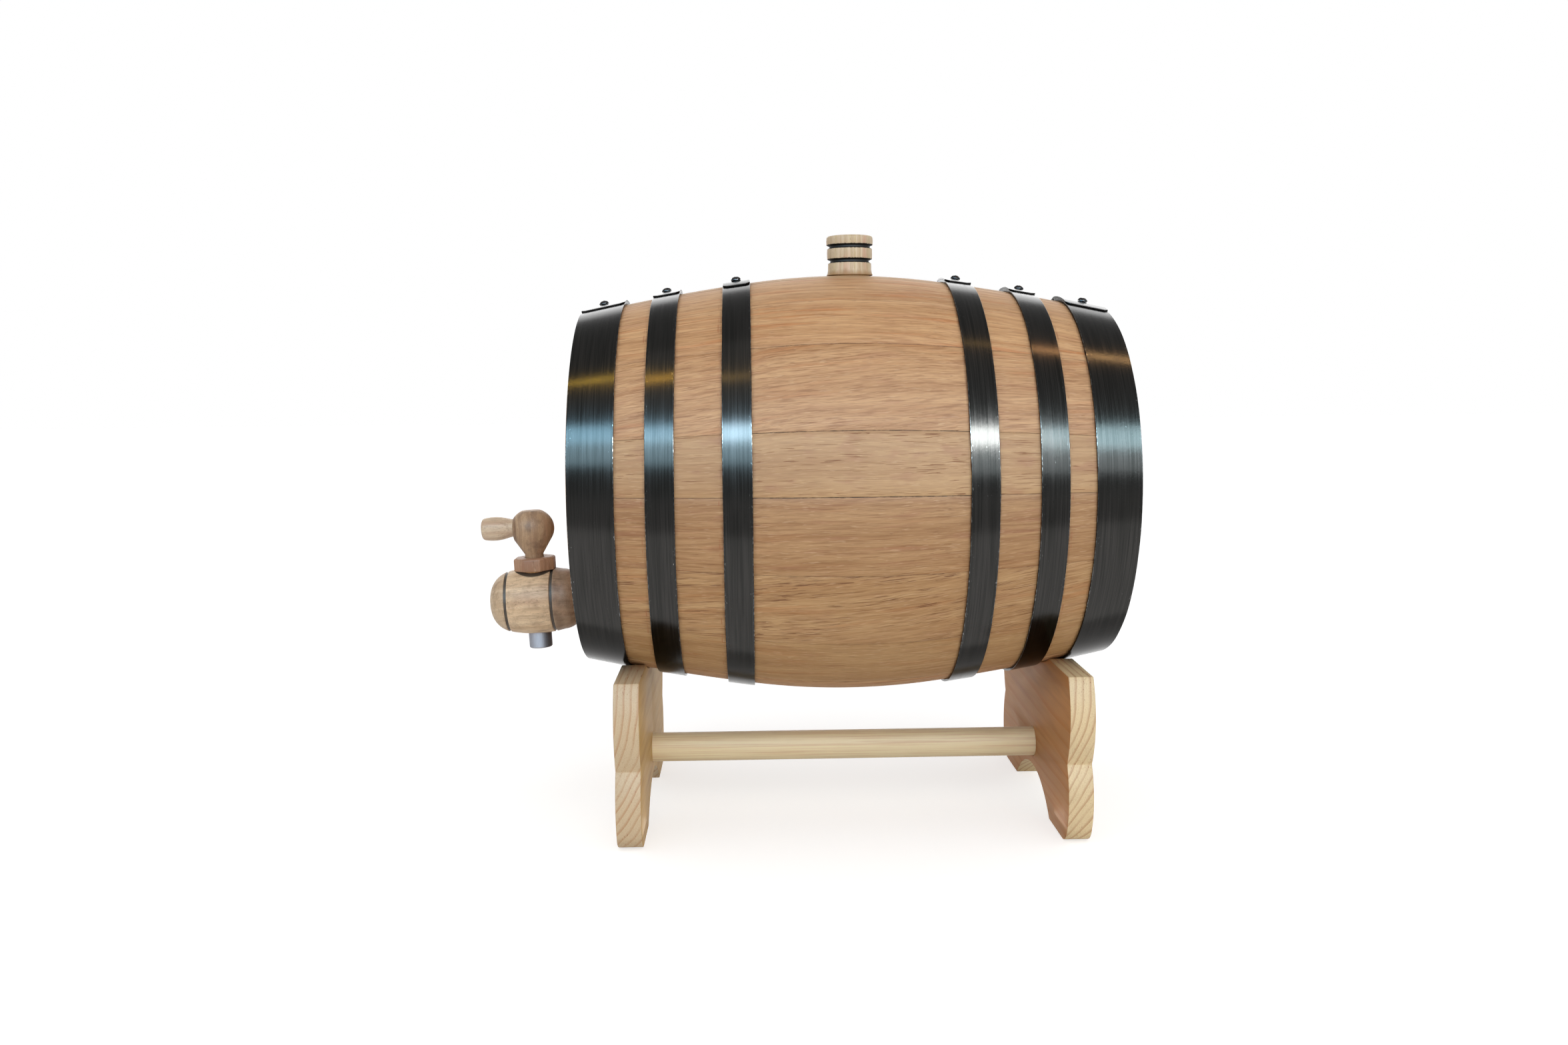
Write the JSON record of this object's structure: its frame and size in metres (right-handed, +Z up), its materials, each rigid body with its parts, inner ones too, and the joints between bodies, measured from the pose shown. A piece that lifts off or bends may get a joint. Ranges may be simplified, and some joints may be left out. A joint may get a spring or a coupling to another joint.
{
  "type": "oak cask liquor dispenser",
  "caption": "Small hooped oak cask lying on a pine stand, with a bung on top and a turned wooden tap in its front head, to store and pour spirits.",
  "frame": {"origin": "on the floor, in the middle of the whole object's box, between the four feet", "axes": "+Z up; +X along the cask's axis, away from the tap; +Y towards the far side when the tap is on the left"},
  "size_m": [0.3154, 0.2096, 0.2915],
  "materials": {
    "stave_oak": "oiled oak, satin",
    "head_oak": "oiled oak, satin",
    "dowel_wood": "bare wood",
    "hoop_steel": "blued steel strip, semi-gloss",
    "rivet_steel": "black, glossy",
    "tap_wood": "turned hardwood, satin",
    "collar_wood": "reddish hardwood, satin",
    "cork": "cork",
    "nozzle_aluminium": "bright drawn tube",
    "key_wood": "turned hardwood, satin",
    "lever_wood": "turned hardwood, satin",
    "bung_wood": "turned pale wood, burnt rings",
    "stand_pine": "bare pine, planed",
    "stretcher_pine": "bare pine dowel"
  },
  "bodies": {
    "stand": {"front_stand_board": "stand_pine", "rear_stand_board": "stand_pine", "stretcher": "stretcher_pine"},
    "cask": {"bung_stave": "stave_oak", "stave_01": "stave_oak", "stave_02": "stave_oak", "stave_03": "stave_oak", "stave_04": "stave_oak", "stave_05": "stave_oak", "stave_06": "stave_oak", "stave_07": "stave_oak", "stave_08": "stave_oak", "stave_09": "stave_oak", "stave_10": "stave_oak", "stave_11": "stave_oak", "stave_12": "stave_oak", "stave_13": "stave_oak", "stave_14": "stave_oak", "stave_15": "stave_oak", "stave_16": "stave_oak", "front_head_board_1": "head_oak", "front_head_board_2": "head_oak", "front_head_board_3": "head_oak", "front_head_board_4": "head_oak", "front_head_board_5": "head_oak", "rear_head_board_1": "head_oak", "rear_head_board_2": "head_oak", "rear_head_board_3": "head_oak", "rear_head_board_4": "head_oak", "rear_head_board_5": "head_oak", "front_head_dowels": "dowel_wood", "rear_head_dowels": "dowel_wood", "front_head_hoop": "hoop_steel", "front_quarter_hoop": "hoop_steel", "front_bilge_hoop": "hoop_steel", "rear_bilge_hoop": "hoop_steel", "rear_quarter_hoop": "hoop_steel", "rear_head_hoop": "hoop_steel", "front_head_rivet": "rivet_steel", "front_quarter_rivet": "rivet_steel", "front_bilge_rivet": "rivet_steel", "rear_bilge_rivet": "rivet_steel", "rear_quarter_rivet": "rivet_steel", "rear_head_rivet": "rivet_steel", "tap_body": "tap_wood", "tap_collar": "collar_wood", "tap_cork_sleeve": "cork", "tap_nozzle": "nozzle_aluminium"},
    "key": {"tap_key": "key_wood", "tap_lever": "lever_wood"},
    "bung": {"bung": "bung_wood"}
  },
  "joints": [
    {"name": "cask_lift", "type": "slide", "parent": "stand", "child": "cask", "axis": [0, 0, 1], "range_m": [0, 0.06]},
    {"name": "tap_turn", "type": "hinge", "parent": "cask", "child": "key", "pos_m": [-0.13032, 0, 0.108], "axis": [-0.0454, 0, 0.999], "continuous": true},
    {"name": "bung_pull", "type": "slide", "parent": "cask", "child": "bung", "axis": [0, 0, 1], "range_m": [0, 0.045]}
  ]
}
